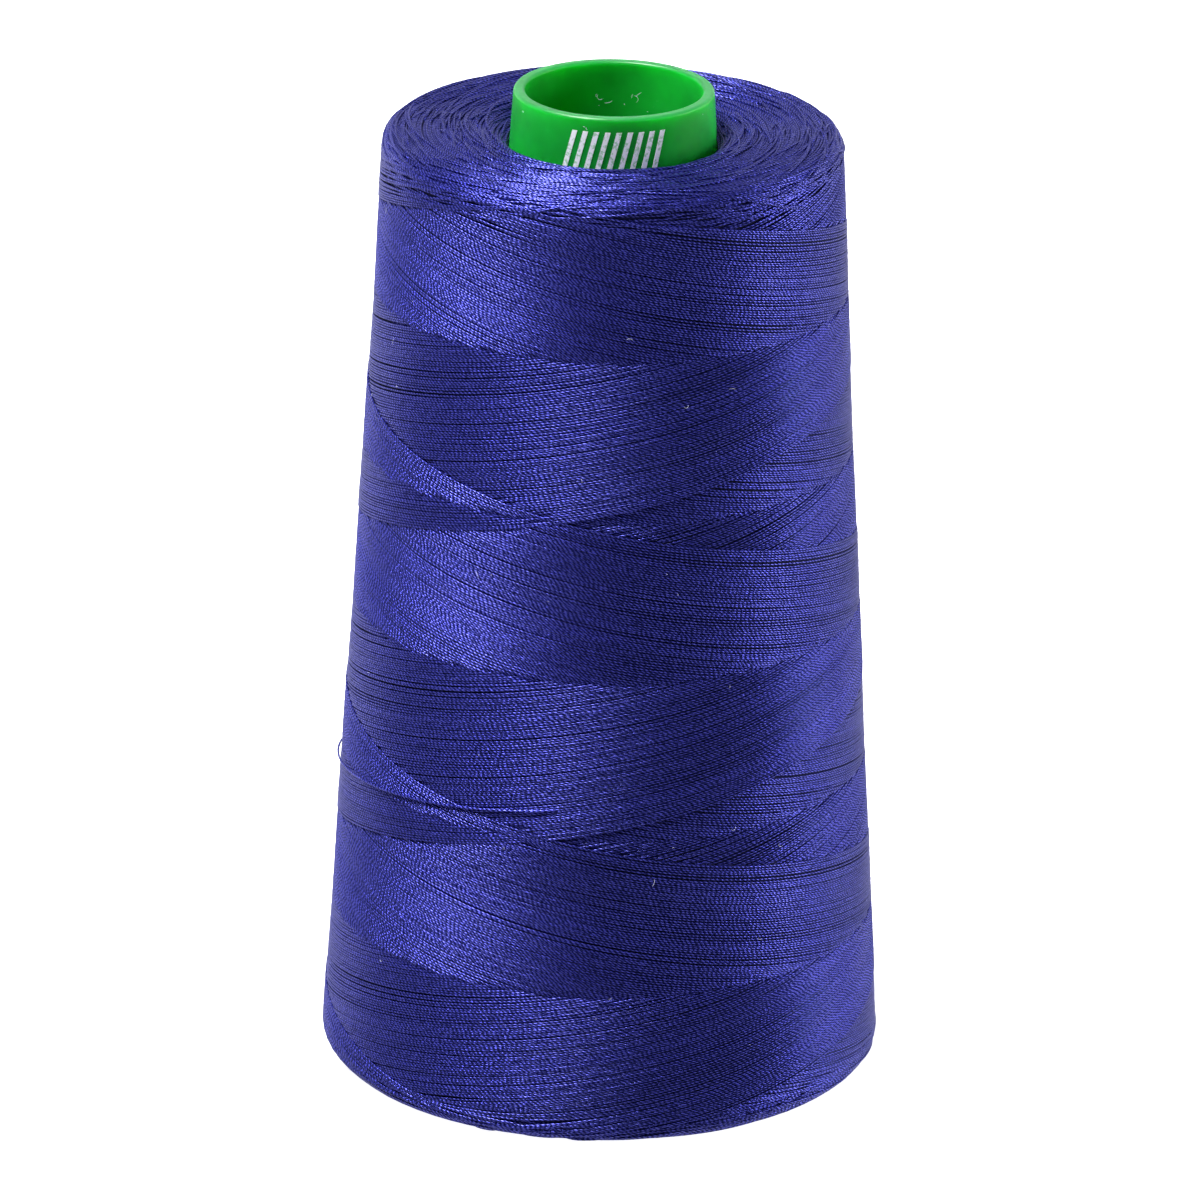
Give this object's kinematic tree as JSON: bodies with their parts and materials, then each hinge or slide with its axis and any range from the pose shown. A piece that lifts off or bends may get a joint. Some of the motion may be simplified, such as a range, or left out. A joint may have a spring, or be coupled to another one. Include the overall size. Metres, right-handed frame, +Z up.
{
  "type": "cone of sewing thread",
  "caption": "Tapered plastic tube wound with blue sewing thread into a cone-shaped package that stands on its foot, nose collar bare.",
  "frame": {"origin": "centre of the tube's foot, on the face the cone stands on", "axes": "+Z up the tube's axis to the nose; -Y is the side with the printed mark"},
  "size_m": [0.07, 0.07, 0.127],
  "materials": {
    "tube_plastic": "satin",
    "thread": "satin",
    "thread_inner": "matte",
    "white_ink": "matte"
  },
  "bodies": {
    "root": {"cone_tube": "tube_plastic", "first_layers": "thread_inner", "middle_layers": "thread", "outer_layers": "thread", "start_bunch": "thread_inner", "slack_turn": "thread", "printed_mark": "white_ink"}
  },
  "joints": []
}
